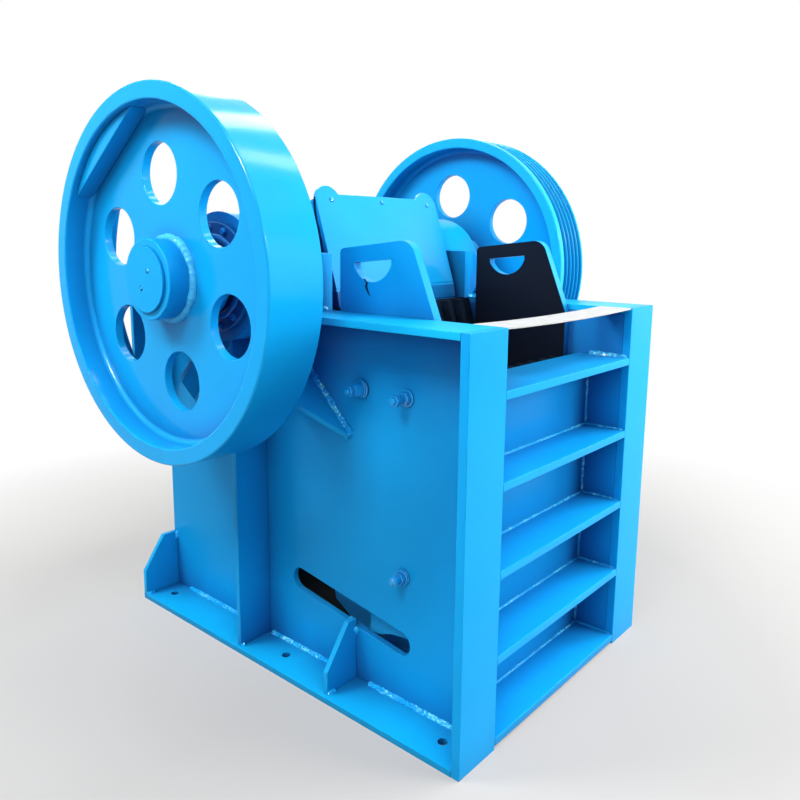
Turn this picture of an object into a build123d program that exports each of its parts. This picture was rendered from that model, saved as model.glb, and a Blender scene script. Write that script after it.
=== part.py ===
from build123d import *
import math
import os

# Jaw crusher with a welded plate frame, a feed mouth about 600 mm wide between its cheek plates.
# Millimetres. +X is the ribbed front end, -Y the flywheel side, +Z up, origin under the frame's centre.

# Welded frame
frame_length = 1342.0
frame_height = 1040.0
wall_gap = 650.0
plate = 20.0
flange_width = 147.0
base_flange = 16.0
top_flange = 18.0
post = 24.0
pedestal_half = 250.4
pedestal_rise = 151.0
pedestal_liner = 20.0
pedestal_liner_drop = 100.0

# Holes for the foundation bolts, three on each side, the middle one halfway
bolt_hole_radius = 13.0
bolt_row_step = 77.0
bolt_rear_inset = 77.0
bolt_front_inset = 101.0

# Long inspection slot over the toggle, tilted down to the front
slot_length = 458.0
slot_height = 67.0
slot_back = 484.0
slot_z = 208.0
slot_tilt = 8.3

# Front end: a wall with shelves welded across it
shelf_count = 5
shelf = 21.0
shelf_pitch = 216.5
lowest_shelf = 9.0
front_wall = 31.0
shelf_depth = 129.0

# Rear end: a wall with three ribs behind it
rear_wall_inset = 241.0
rear_wall = 30.0
rear_wall_top = 640.0
rear_rib = 20.0
rear_rib_depth = 100.0

# Gussets and the ribs that carry the bearings
gusset = 16.0
mid_gusset_back = 458.0
gusset_setback = 15.0
gusset_edge = 62.0
gusset_top = 193.0
gusset_top_width = 31.0
rear_gusset_edge = 84.0
rear_gusset_top = 210.0
rear_gusset_top_width = 52.0
upper_gusset_edge = 187.0
upper_gusset_drop = 332.0
stiffener_setback = 11.0
brace_setback = 19.0
brace_offset = 42.0
brace_corner = 425.0
brace_tip = 546.0
brace_tip_width = 8.0

# Shaft, bearings and wheels
shaft_back = 828.4
shaft_rise = 83.3
eccentricity = 10.0
eccentric_angle = -55.3
eccentric_wall = 5.0
journal_radius = 75.0
seat_step = 5.0
running_gap = 0.05
seat_gap = 0.05
opening_clearance = 37.0
housing_radius = 176.0
housing_width = 145.0
cover_step = 28.0
cover_width = 18.0
cover_clearance = 6.0
flywheel_radius = 478.0
pulley_step = 9.0
rim_thickness = 44.0
rim_setback = 22.0
rim_width = 160.0
web = 24.0
web_depth = 68.0
boss_radius = 103.0
boss_gap = 22.0
boss_recess = 1.0
wheel_hole_radius = 79.0
wheel_holes = 6
flywheel_hole_angle = 36.9
pulley_hole_angle = 39.4
end_disc_lip = 13.0
end_disc = 8.0
end_bolt_radius = 7.0
end_bolt_pitch = 28.0
end_bolt_angle = 53.0
weight_depth = 44.0
weight_thickness = 50.0
weight_angle = 124.7
rim_chamfer = 3.0

# Grooves for V belts
groove_pitch = 25.5
groove_depth = 19.0
groove_top = 22.0
groove_bottom = 9.0
groove_edge = 22.0
groove_overrun = 1.0

# Crushing chamber
fixed_jaw = 30.0
jaw_foot = 205.0
fixed_jaw_lap = 13.0
tooth_height = 25.0
tooth_pitch = 60.0
tooth_base = 44.0
tooth_crest = 20.0
ledge = 30.0
gape = 306.0
setting = 51.0
cheek = 26.0
cheek_rear_back = 528.0
cheek_rear_rise = 164.0
cheek_front_back = 287.0
cheek_front_rise = 190.0
cheek_shoulder_back = 199.0
cheek_shoulder_drop = 25.0
cheek_bottom = 330.0
cheek_bend = 760.0
cheek_rear_corner = 14.0
cheek_front_corner = 45.0
hand_hole_back = 413.0
hand_hole_rise = 135.0
hand_hole_width = 128.0
hand_hole_height = 54.0
hand_hole_side = 12.0
hand_hole_tilt = 5.5
side_gap = 0.3

# Swing jaw: casting, toothed plate, wedge and cover
jaw_side_gap = 37.0
jaw_plate_side_gap = 9.0
jaw_plate = 35.0
head_wall = 90.0
head_reach = 192.4
head_rise = 40.0
toe_top = 250.0
toe_step = 6.0
toe_length = 181.0
toe_corner = 18.0
back_knee_step = 285.0
back_knee_z = 430.0
pocket_drop = 160.0
pocket_wall = 50.0
pocket_rib = 34.0
wedge_height = 45.0
wedge_foot = 49.0
wedge_top = 40.0
cover_reach = 230.4
cover_rise = 50.0
cover_length = 279.0
cover_lean = 18.0
cover = 12.0
cover_overlap = 8.0
cover_return = 40.0
cover_return_start = 30.0
cover_ear_radius = 50.0
cover_ear_rise = 24.0
rail_height = 70.0
rail_inset = 12.0

# Toggle plate, its seats and the tension rod
toggle = 45.0
toggle_inset = 62.0
toggle_front_back = 155.0
toggle_front_z = 270.0
toggle_block_depth = 224.8
toggle_block_height = 150.0
toggle_block_side = 10.0
swing_clearance = 5.0
rod_radius = 14.0
rod_drop = 83.0
eye_wall = 15.0
eye_thickness = 24.0
pin_radius = 12.0
lug = 25.0
lug_gap = 10.0
lug_width = 50.0
lug_drop = 45.0
spring_radius = 48.0
spring_wire = 18.0
spring_length = 140.0
rod_washer = 10.0
rod_nut_width = 44.0
rod_nut = 34.0
rod_tail = 12.0

# Flexible white band across the feed end
band_inset = 99.0
band_width = 94.0
band = 5.0
band_sag = 5.0

# Places that follow from the sizes above
front_x = frame_length / 2
rear_x = -frame_length / 2
post_x = front_x - post
inner_y = wall_gap / 2
outer_y = inner_y + plate
edge_y = inner_y + flange_width
flange_z = frame_height - top_flange
bolt_row = inner_y + bolt_row_step
bolt_rear = rear_x + bolt_rear_inset
bolt_front = front_x - bolt_front_inset
bolt_middle = (bolt_rear + bolt_front) / 2
wall_front = front_x - shelf_depth
wall_rear = wall_front - front_wall
top_shelf_z = lowest_shelf + (shelf_count - 1) * shelf_pitch
slot_x = front_x - slot_back
rear_wall_x = rear_x + rear_wall_inset
rear_wall_back = rear_wall_x - rear_wall
mid_gusset_x = front_x - mid_gusset_back
gusset_foot = flange_width - plate - gusset_setback
stiffener_width = flange_width - plate - stiffener_setback
brace_width = flange_width - plate - brace_setback

# Shaft, bearings and wheels
shaft_x = front_x - shaft_back
shaft_z = frame_height + shaft_rise
shaft_axis = Axis((shaft_x, 0, shaft_z), (0, 1, 0))
pedestal_front = shaft_x + pedestal_half
pedestal_top = frame_height + pedestal_rise
eccentric_x = shaft_x + eccentricity * math.cos(math.radians(eccentric_angle))
eccentric_z = shaft_z + eccentricity * math.sin(math.radians(eccentric_angle))
eccentric_radius = journal_radius + eccentricity + eccentric_wall
wheel_seat_radius = journal_radius - seat_step
plate_opening = journal_radius + opening_clearance
cover_radius = housing_radius - cover_step
housing_outer = outer_y + housing_width
boss_inner = housing_outer + cover_width + boss_gap
rim_inner = boss_inner + rim_setback
rim_outer = rim_inner + rim_width
rim_bore = flywheel_radius - rim_thickness
pulley_radius = flywheel_radius - pulley_step
web_inner = rim_inner + web_depth
web_outer = web_inner + web
boss_outer = rim_outer - boss_recess
wheel_hole_pitch = (boss_radius + rim_bore) / 2
end_disc_radius = wheel_seat_radius + end_disc_lip
weight_chord = rim_bore - weight_depth
groove_count = int((rim_width - groove_edge) / groove_pitch)

# Crushing chamber and swing jaw
chamber_width = wall_gap - 2 * cheek
tooth_count = int(chamber_width / tooth_pitch)
fixed_face = wall_rear - fixed_jaw
fixed_jaw_top = top_shelf_z + fixed_jaw_lap
cheek_rear = front_x - cheek_rear_back
cheek_front_x = front_x - cheek_front_back
cheek_shoulder_x = front_x - cheek_shoulder_back
hand_hole_x = front_x - hand_hole_back
hand_hole_top = frame_height + hand_hole_rise
jaw_width = chamber_width - 2 * jaw_side_gap
jaw_plate_width = chamber_width - 2 * jaw_plate_side_gap
jaw_depth = jaw_plate + tooth_height
crest_top_x = fixed_face - tooth_height - gape
crest_top_z = frame_height
crest_bottom_x = fixed_face - tooth_height - setting
slope = (crest_bottom_x - crest_top_x) / (crest_top_z - jaw_foot)
lean = math.atan(slope)
jaw_back = jaw_depth / math.cos(lean)
head_radius = eccentric_radius + head_wall
head_front = shaft_x + head_reach
toe_front = crest_bottom_x - toe_step
toe_rear = toe_front - toe_length
back_knee_x = crest_bottom_x - back_knee_step
pocket_top = frame_height - pocket_drop
cover_x = shaft_x + cover_reach
cover_z = frame_height + cover_rise

# Toggle plate and tension rod
toggle_width = jaw_width - 2 * toggle_inset
toggle_block_width = toggle_width + 2 * toggle_block_side
toggle_front_x = crest_bottom_x - toggle_front_back
toggle_angle = math.radians(slot_tilt)
toggle_rear_x = rear_wall_x + toggle_block_depth
toggle_length = (toggle_front_x - toggle_rear_x) / math.cos(toggle_angle)
toggle_rear_z = toggle_front_z + toggle_length * math.sin(toggle_angle)
rod_z = toggle_front_z - rod_drop
eye_radius = pin_radius + eccentricity + swing_clearance + eye_wall
spring_bore = spring_radius - spring_wire


def side(distance):
    """Plane across the machine, this far towards the flywheel side: local x is X, local y is Z."""
    return Plane.XZ.offset(distance)


def hub(distance):
    """The same plane with its origin on the shaft's axis."""
    return Plane(origin=(shaft_x, -distance, shaft_z), x_dir=(1, 0, 0), z_dir=(0, -1, 0))


def save(part, name):
    """Label a finished piece and write it."""
    part.label = name
    export_step(part, "parts/" + name + ".step")


def save_pair(piece, name, flywheel_name="", pulley_name=""):
    """Write a piece of the flywheel side and its mirror image on the pulley side."""
    save(piece, flywheel_name or "flywheel_side_" + name)
    with BuildPart() as twin:
        mirror(piece, about=Plane.XZ)
    save(twin.part, pulley_name or "pulley_side_" + name)


def crest_x(z):
    """Where the tips of the swing jaw's teeth stand at this height."""
    return crest_top_x + (crest_top_z - z) * slope


os.makedirs("parts", exist_ok=True)

# Side plate with its raised part at the bearing, the shaft's opening and the slot
liner_bottom = frame_height - pedestal_liner_drop
with BuildPart() as side_plate:
    with BuildSketch(side(inner_y)):
        with BuildLine():
            Polyline(
                (rear_x, base_flange),
                (post_x, base_flange),
                (post_x, flange_z),
                (pedestal_front, flange_z),
                (pedestal_front, pedestal_top),
                (2 * shaft_x - pedestal_front, pedestal_top),
                (2 * shaft_x - pedestal_front, flange_z),
                (rear_x, flange_z),
                close=True,
            )
        make_face()
        with Locations((shaft_x, shaft_z)):
            Circle(plate_opening, mode=Mode.SUBTRACT)
        with Locations((slot_x, slot_z)):
            SlotOverall(slot_length, slot_height, rotation=-slot_tilt, mode=Mode.SUBTRACT)
    extrude(amount=plate)
    with BuildSketch(side(inner_y)):
        with Locations((shaft_x, (liner_bottom + pedestal_top) / 2)):
            Rectangle(2 * (pedestal_front - shaft_x), pedestal_top - liner_bottom)
        with Locations((shaft_x, shaft_z)):
            Circle(plate_opening, mode=Mode.SUBTRACT)
    extrude(amount=-pedestal_liner)
save_pair(side_plate.part, "plate")

# Foot flange under the side plate, with the foundation bolt holes
with BuildPart() as foot_flange:
    with BuildSketch(Plane.XY):
        with Locations(((rear_x + post_x) / 2, -(inner_y + edge_y) / 2)):
            Rectangle(post_x - rear_x, flange_width)
        with Locations((bolt_rear, -bolt_row), (bolt_middle, -bolt_row), (bolt_front, -bolt_row)):
            Circle(bolt_hole_radius, mode=Mode.SUBTRACT)
    extrude(amount=base_flange)
save_pair(foot_flange.part, "foot_flange")

# Top flange in two lengths, before and behind the bearing housing
with BuildPart() as rim_flange:
    with BuildSketch(Plane.XY.offset(flange_z)):
        with Locations(((rear_x + post_x) / 2, -(inner_y + edge_y) / 2)):
            Rectangle(post_x - rear_x, flange_width)
        with Locations((shaft_x, -(inner_y + outer_y) / 2)):
            Rectangle(2 * (pedestal_front - shaft_x), plate, mode=Mode.SUBTRACT)
    extrude(amount=top_flange)
    with BuildSketch(hub(outer_y)):
        Circle(housing_radius + seat_gap)
    extrude(amount=housing_width, mode=Mode.SUBTRACT)
save_pair(rim_flange.part, "top_flange")

# Front post
with BuildPart() as front_post:
    with BuildSketch(Plane.XY):
        with Locations((post_x + post / 2, -(inner_y + edge_y) / 2)):
            Rectangle(post, flange_width)
    extrude(amount=frame_height)
save_pair(front_post.part, "post")

# Front wall, with the ledge that the fixed jaw plate stands on
with BuildPart() as wall:
    with BuildSketch(side(-inner_y)):
        with Locations(((wall_rear + wall_front) / 2, (lowest_shelf + top_shelf_z) / 2)):
            Rectangle(front_wall, top_shelf_z - lowest_shelf)
        with Locations((wall_rear - fixed_jaw / 2, jaw_foot - ledge / 2)):
            Rectangle(fixed_jaw, ledge)
    extrude(amount=wall_gap)
save(wall.part, "front_wall")

# Shelves across the front: the top one lies on the wall
with BuildPart() as front_shelves:
    for number in range(shelf_count):
        depth = shelf_depth if number < shelf_count - 1 else shelf_depth + front_wall
        with BuildSketch(Plane.XY.offset(lowest_shelf + number * shelf_pitch)):
            with Locations((front_x - depth / 2, 0)):
                Rectangle(depth, wall_gap)
        extrude(amount=shelf)
save(front_shelves.part, "front_shelves")

# Rear wall, with the hole for the tension rod
with BuildPart() as rear_plate:
    with BuildSketch(Plane.YZ.offset(rear_wall_back)):
        with Locations((0, (base_flange + rear_wall_top) / 2)):
            Rectangle(wall_gap, rear_wall_top - base_flange)
        with Locations((0, rod_z)):
            Circle(rod_radius + side_gap, mode=Mode.SUBTRACT)
    extrude(amount=rear_wall)
save(rear_plate.part, "rear_wall")

# Three ribs behind the rear wall: foot, middle and top
with BuildPart() as rear_ribs:
    for height in (base_flange, (base_flange + rear_wall_top - rear_rib) / 2, rear_wall_top - rear_rib):
        with BuildSketch(Plane.XY.offset(height)):
            with Locations((rear_wall_back - rear_rib_depth / 2, 0)):
                Rectangle(rear_rib_depth, wall_gap)
        extrude(amount=rear_rib)
save(rear_ribs.part, "rear_wall_ribs")

# Gussets between the flanges and the side plate
with BuildPart() as gussets:
    with BuildSketch(Plane.YZ.offset(mid_gusset_x - gusset / 2)):
        with BuildLine():
            Polyline(
                (-outer_y, base_flange),
                (-outer_y - gusset_foot, base_flange),
                (-outer_y - gusset_foot, base_flange + gusset_edge),
                (-outer_y - gusset_top_width, gusset_top),
                (-outer_y, gusset_top),
                close=True,
            )
        make_face()
    extrude(amount=gusset)
    with BuildSketch(Plane.YZ.offset(rear_x)):
        with BuildLine():
            Polyline(
                (-outer_y, base_flange),
                (-edge_y, base_flange),
                (-edge_y, base_flange + rear_gusset_edge),
                (-outer_y - rear_gusset_top_width, rear_gusset_top),
                (-outer_y, rear_gusset_top),
                close=True,
            )
        make_face()
        with BuildLine():
            Polyline(
                (-outer_y, flange_z),
                (-edge_y, flange_z),
                (-edge_y, flange_z - upper_gusset_edge),
                (-outer_y, flange_z - upper_gusset_drop),
                close=True,
            )
        make_face()
    extrude(amount=gusset)
save_pair(gussets.part, "gussets")

# Upright rib under the bearing housing
with BuildPart() as stiffener:
    with BuildSketch(Plane.YZ.offset(shaft_x - gusset / 2)):
        with Locations((-outer_y - stiffener_width / 2, (base_flange + shaft_z) / 2)):
            Rectangle(stiffener_width, shaft_z - base_flange)
    extrude(amount=gusset)
    with BuildSketch(hub(outer_y)):
        Circle(housing_radius + seat_gap)
    extrude(amount=stiffener_width, mode=Mode.SUBTRACT)
save_pair(stiffener.part, "stiffener")

# Slanted braces before and behind the bearing housing
slant = math.sqrt(0.5)
brace_plane = Plane(
    origin=(shaft_x - brace_offset * slant, 0, shaft_z - brace_offset * slant),
    x_dir=(0, -1, 0),
    z_dir=(slant, 0, slant),
)
with BuildPart() as braces:
    with BuildSketch(brace_plane):
        with BuildLine():
            Polyline(
                (outer_y, housing_radius / 2),
                (outer_y + brace_width, housing_radius / 2),
                (outer_y + brace_width, brace_corner),
                (outer_y + brace_tip_width, brace_tip),
                (outer_y, brace_tip),
                close=True,
            )
        make_face()
    extrude(amount=gusset / 2, both=True)
    mirror(about=Plane.YZ.offset(shaft_x))
    with BuildSketch(hub(outer_y)):
        Circle(housing_radius + seat_gap)
    extrude(amount=brace_width, mode=Mode.SUBTRACT)
    with BuildSketch(Plane.XY.offset(flange_z)):
        with Locations((shaft_x, -outer_y - brace_width / 2)):
            Rectangle(4 * housing_radius, brace_width)
    extrude(amount=frame_height, mode=Mode.SUBTRACT)
save_pair(braces.part, "braces")

# Bearing housing, which reaches inwards over the raised side plate, and its end cover
with BuildPart() as housing:
    with BuildSketch(hub(outer_y)):
        Circle(housing_radius)
        Circle(journal_radius + running_gap, mode=Mode.SUBTRACT)
    extrude(amount=housing_width)
    with BuildSketch(hub(outer_y)):
        Circle(housing_radius)
        Circle(plate_opening, mode=Mode.SUBTRACT)
        with Locations((0, pedestal_top - shaft_z - housing_radius)):
            Rectangle(2 * housing_radius, 2 * housing_radius, mode=Mode.SUBTRACT)
    extrude(amount=-plate - pedestal_liner)
save_pair(housing.part, "bearing_housing")

with BuildPart() as bearing_cover:
    with BuildSketch(hub(housing_outer)):
        Circle(cover_radius)
        Circle(journal_radius + cover_clearance, mode=Mode.SUBTRACT)
    extrude(amount=cover_width)
save_pair(bearing_cover.part, "bearing_cover")

# Cheek plate with its hand hole, whose outline starts at the middle of its straight edge
with BuildSketch() as hand_hole:
    with BuildLine():
        Polyline(
            (-hand_hole_width / 2, -hand_hole_side),
            (-hand_hole_width / 2, 0),
            (hand_hole_width / 2, 0),
            (hand_hole_width / 2, -hand_hole_side),
        )
        ThreePointArc(
            (hand_hole_width / 2, -hand_hole_side),
            (0, -hand_hole_height),
            (-hand_hole_width / 2, -hand_hole_side),
        )
    make_face()
with BuildPart() as cheek_plate:
    with BuildSketch(side(inner_y - cheek)) as cheek_outline:
        with BuildLine():
            Polyline(
                (cheek_rear, frame_height + cheek_rear_rise),
                (cheek_front_x, frame_height + cheek_front_rise),
                (cheek_shoulder_x, frame_height - cheek_shoulder_drop),
                (cheek_shoulder_x, cheek_bottom),
                (cheek_rear + (cheek_bend - cheek_bottom) * slope, cheek_bottom),
                (cheek_rear, cheek_bend),
                close=True,
            )
        make_face()
        fillet(cheek_outline.vertices().sort_by(Axis.Y)[-1], cheek_front_corner)
        fillet(cheek_outline.vertices().group_by(Axis.X)[0].sort_by(Axis.Y)[-1], cheek_rear_corner)
        with Locations((hand_hole_x, hand_hole_top)):
            add(hand_hole.sketch, rotation=hand_hole_tilt, mode=Mode.SUBTRACT)
    extrude(amount=cheek)
save_pair(cheek_plate.part, "cheek_plate")

# Fixed jaw plate: slab and upright teeth
with BuildPart() as fixed_plate:
    with BuildSketch(Plane.XY.offset(jaw_foot)):
        with Locations(((fixed_face + wall_rear) / 2, 0)):
            Rectangle(fixed_jaw, wall_gap - 2 * side_gap)
        with GridLocations(0, tooth_pitch, 1, tooth_count):
            Polygon(
                (fixed_face, -tooth_base / 2),
                (fixed_face - tooth_height, -tooth_crest / 2),
                (fixed_face - tooth_height, tooth_crest / 2),
                (fixed_face, tooth_base / 2),
                align=None,
            )
    extrude(amount=fixed_jaw_top - jaw_foot)
save(fixed_plate.part, "fixed_jaw_plate")

# Toggle block on the rear wall, grooved for the toggle's rear end
with BuildPart() as toggle_block:
    with BuildSketch(side(-toggle_block_width / 2)):
        with Locations(((rear_wall_x + toggle_rear_x) / 2, toggle_rear_z)):
            Rectangle(toggle_block_depth, toggle_block_height)
        with Locations((toggle_rear_x, toggle_rear_z)):
            Circle(toggle / 2 + side_gap, mode=Mode.SUBTRACT)
    extrude(amount=toggle_block_width)
save(toggle_block.part, "toggle_block")

with BuildPart() as toggle_plate:
    with BuildSketch(side(-toggle_width / 2)):
        with Locations(((toggle_front_x + toggle_rear_x) / 2, (toggle_front_z + toggle_rear_z) / 2)):
            SlotCenterToCenter(toggle_length, toggle, rotation=-slot_tilt)
    extrude(amount=toggle_width)
save(toggle_plate.part, "toggle_plate")

# Tension rod: an eye round the jaw's pin, a washer and nut behind the spring
washer_x = rear_wall_back - spring_length - rod_washer
nut_x = washer_x - rod_nut
with BuildPart() as tension_rod:
    with BuildSketch(Plane.YZ.offset(nut_x - rod_tail)):
        with Locations((0, rod_z)):
            Circle(rod_radius)
    extrude(amount=toggle_front_x - eye_radius + rod_radius - nut_x + rod_tail)
    with BuildSketch(side(-eye_thickness / 2)):
        with Locations((toggle_front_x, rod_z)):
            Circle(eye_radius)
    extrude(amount=eye_thickness)
    with BuildSketch(side(-eye_radius)):
        with Locations((toggle_front_x, rod_z)):
            Circle(pin_radius + eccentricity + swing_clearance)
    extrude(amount=2 * eye_radius, mode=Mode.SUBTRACT)
    with BuildSketch(Plane.YZ.offset(washer_x)):
        with Locations((0, rod_z)):
            Circle(spring_radius)
    extrude(amount=rod_washer)
    with BuildSketch(Plane.YZ.offset(nut_x)):
        with Locations((0, rod_z)):
            RegularPolygon(rod_nut_width / 2, 6, major_radius=False)
    extrude(amount=rod_nut)
save(tension_rod.part, "tension_rod")

with BuildPart() as tension_spring:
    with BuildSketch(Plane.YZ.offset(rear_wall_back - spring_length)):
        with Locations((0, rod_z)):
            Circle(spring_radius)
            Circle(spring_bore, mode=Mode.SUBTRACT)
    extrude(amount=spring_length)
save(tension_spring.part, "tension_spring")

# White band between the two top flanges, sagging a little at its middle
with BuildPart() as mouth_strip:
    with BuildSketch(Plane.YZ.offset(front_x - band_inset)):
        with BuildLine():
            ThreePointArc((-inner_y, frame_height), (0, frame_height - band_sag), (inner_y, frame_height))
            Line((inner_y, frame_height), (inner_y, frame_height - band))
            ThreePointArc(
                (inner_y, frame_height - band),
                (0, frame_height - band - band_sag),
                (-inner_y, frame_height - band),
            )
            Line((-inner_y, frame_height - band), (-inner_y, frame_height))
        make_face()
    extrude(amount=band_width)
save(mouth_strip.part, "mouth_strip")

# Swing jaw casting
half_jaw = jaw_width / 2
back_top_x = crest_x(crest_top_z) - jaw_back
knee_distance = math.hypot(back_knee_x - shaft_x, back_knee_z - shaft_z)
knee_angle = math.atan2(back_knee_z - shaft_z, back_knee_x - shaft_x)
tangent_angle = knee_angle - math.acos(head_radius / knee_distance)
cover_angle = math.radians(cover_lean)
cover_plane = Plane(
    origin=(cover_x, 0, cover_z),
    x_dir=(0, 1, 0),
    z_dir=(math.cos(cover_angle), 0, math.sin(cover_angle)),
)
rail_plane = Plane(
    origin=(cover_x, half_jaw, cover_z),
    x_dir=(math.cos(cover_angle), 0, math.sin(cover_angle)),
    z_dir=(0, -1, 0),
)
seat_x = toggle_front_x + eccentric_x - shaft_x
seat_z = toggle_front_z + eccentric_z - shaft_z
pin_x = toggle_front_x + eccentric_x - shaft_x
pin_z = rod_z + eccentric_z - shaft_z
with BuildPart() as swing_jaw:
    with BuildSketch(side(-half_jaw)) as jaw_outline:
        with BuildLine():
            Polyline(
                (head_front, shaft_z),
                (head_front, crest_top_z),
                (back_top_x, crest_top_z),
                (crest_x(toe_top) - jaw_back, toe_top),
                (toe_front, toe_top),
                (toe_front - toe_corner, jaw_foot),
                (toe_rear + toe_corner, jaw_foot),
                (toe_rear, toe_top),
                (seat_x - toggle, seat_z + toggle),
                (back_knee_x, back_knee_z),
                (
                    shaft_x + head_radius * math.cos(tangent_angle),
                    shaft_z + head_radius * math.sin(tangent_angle),
                ),
                (shaft_x, shaft_z),
                close=True,
            )
        make_face()
        fillet(jaw_outline.vertices().sort_by(Axis.Y)[:2], toe_corner)
        with Locations((shaft_x, shaft_z)):
            Circle(head_radius)
        with Locations(((shaft_x + head_front) / 2, shaft_z)):
            Rectangle(head_front - shaft_x, 2 * head_rise)
    extrude(amount=jaw_width)
    with BuildSketch(rail_plane):
        with Locations((-cover - head_radius / 4, cover_length - rail_inset - rail_height / 2)):
            Rectangle(head_radius / 2, rail_height)
    extrude(amount=jaw_width)
    with BuildSketch(side(-half_jaw)):
        with Locations((eccentric_x, eccentric_z)):
            Circle(eccentric_radius + running_gap)
        with Locations((seat_x, seat_z)):
            Circle(toggle / 2 + eccentricity + swing_clearance)
        with Locations((seat_x - toggle * math.cos(toggle_angle), seat_z + toggle * math.sin(toggle_angle))):
            Rectangle(2 * toggle, toggle + 2 * eccentricity + 2 * swing_clearance, rotation=-slot_tilt)
    extrude(amount=jaw_width, mode=Mode.SUBTRACT)
    pocket_width = (jaw_width - 4 * pocket_rib) / 3
    for middle in (-pocket_width - pocket_rib, 0, pocket_width + pocket_rib):
        with BuildSketch(side(middle - pocket_width / 2)):
            with BuildLine():
                Polyline(
                    (crest_x(pocket_top) - jaw_back - pocket_wall, pocket_top),
                    (crest_x(back_knee_z) - jaw_back - pocket_wall, back_knee_z),
                    (shaft_x, back_knee_z),
                    (shaft_x - 2 * head_radius, pocket_top),
                    close=True,
                )
            make_face()
        extrude(amount=pocket_width, mode=Mode.SUBTRACT)
    with BuildSketch(side(-eye_thickness / 2 - lug_gap)):
        with Locations((toggle_front_x, rod_z)):
            Circle(eye_radius + eccentricity + swing_clearance)
    extrude(amount=eye_thickness + 2 * lug_gap, mode=Mode.SUBTRACT)
    for near in (-eye_thickness / 2 - lug_gap - lug, eye_thickness / 2 + lug_gap):
        with BuildSketch(side(near)):
            with Locations((pin_x, jaw_foot + toe_corner - (lug_drop + toe_corner) / 2)):
                Rectangle(lug_width, lug_drop + toe_corner)
        extrude(amount=lug)
    with BuildSketch(side(-eye_thickness / 2 - lug_gap - lug)):
        with Locations((pin_x, pin_z)):
            Circle(pin_radius)
    extrude(amount=eye_thickness + 2 * lug_gap + 2 * lug)
save(swing_jaw.part, "swing_jaw")

# Toothed plate on the swing jaw, drawn in its own slanted plane with its teeth standing forward
plate_length = (crest_top_z - toe_top) / math.cos(lean)
plate_plane = Plane(
    origin=(crest_x(toe_top) - jaw_back, 0, toe_top),
    x_dir=(math.cos(lean), 0, math.sin(lean)),
    z_dir=(-math.sin(lean), 0, math.cos(lean)),
)
with BuildPart() as moving_plate:
    with BuildSketch(plate_plane.offset(-jaw_depth)):
        with Locations((jaw_plate / 2, 0)):
            Rectangle(jaw_plate, jaw_plate_width)
        with GridLocations(0, tooth_pitch, 1, tooth_count - 1):
            Polygon(
                (jaw_plate, -tooth_base / 2),
                (jaw_depth, -tooth_crest / 2),
                (jaw_depth, tooth_crest / 2),
                (jaw_plate, tooth_base / 2),
                align=None,
            )
    extrude(amount=plate_length + 2 * jaw_depth)
    split(bisect_by=Plane.XY.offset(toe_top), keep=Keep.TOP)
    split(bisect_by=Plane.XY.offset(crest_top_z), keep=Keep.BOTTOM)
save(moving_plate.part, "moving_jaw_plate")

# Wedge bar that clamps the toothed plate's top edge
with BuildPart() as wedge:
    with BuildSketch(side(-jaw_width / 2 - cover_overlap)):
        with BuildLine():
            Polyline(
                (head_front, crest_top_z),
                (head_front + wedge_foot, crest_top_z),
                (head_front + wedge_top, crest_top_z + wedge_height),
                (head_front, crest_top_z + wedge_height),
                close=True,
            )
        make_face()
    extrude(amount=jaw_width + 2 * cover_overlap)
save(wedge.part, "jaw_wedge")

# Guard plate over the jaw's head, with round ears at its top corners and returns down its sides
cover_width_all = jaw_width + 2 * cover_overlap
ear_y = cover_width_all / 2 - cover_ear_radius
ear_middle = cover_length + cover_ear_rise - cover_ear_radius
with BuildPart() as jaw_cover:
    with BuildSketch(cover_plane):
        with Locations((0, cover_length / 2)):
            Rectangle(2 * ear_y, cover_length)
        with Locations((0, ear_middle / 2)):
            Rectangle(cover_width_all, ear_middle)
        with Locations((-ear_y, ear_middle), (ear_y, ear_middle)):
            Circle(cover_ear_radius)
    extrude(amount=-cover)
    with BuildSketch(cover_plane.offset(-cover)):
        return_y = (cover_width_all - cover_overlap) / 2
        return_middle = (ear_middle + cover_return_start) / 2
        with Locations((-return_y, return_middle), (return_y, return_middle)):
            Rectangle(cover_overlap, ear_middle - cover_return_start)
    extrude(amount=-cover_return)
save(jaw_cover.part, "jaw_cover")

# Eccentric shaft
jaw_seat = half_jaw + swing_clearance
with BuildPart() as shaft:
    with BuildSketch(side(-jaw_seat)):
        with Locations((eccentric_x, eccentric_z)):
            Circle(eccentric_radius)
    extrude(amount=2 * jaw_seat)
    with BuildSketch(hub(-boss_inner)):
        Circle(journal_radius)
    extrude(amount=2 * boss_inner)
    with BuildSketch(hub(-boss_outer)):
        Circle(wheel_seat_radius)
    extrude(amount=2 * boss_outer)
save(shaft.part, "eccentric_shaft")


def make_rim(radius):
    """A flywheel side rim with chamfered edges."""
    with BuildPart() as rim:
        with BuildSketch(hub(rim_inner)):
            Circle(radius)
            Circle(rim_bore, mode=Mode.SUBTRACT)
        extrude(amount=rim_width)
        chamfer(rim.edges().filter_by(GeomType.CIRCLE), rim_chamfer)
    return rim.part


def make_web(hole_angle):
    """A flywheel side web with its ring of round holes."""
    with BuildPart() as disc:
        with BuildSketch(hub(web_inner)):
            Circle(rim_bore - seat_gap)
            Circle(boss_radius + seat_gap, mode=Mode.SUBTRACT)
            with PolarLocations(wheel_hole_pitch, wheel_holes, start_angle=hole_angle):
                Circle(wheel_hole_radius, mode=Mode.SUBTRACT)
        extrude(amount=web)
    return disc.part


save(make_rim(flywheel_radius), "flywheel_rim")
save(make_web(flywheel_hole_angle), "flywheel_web")

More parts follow.
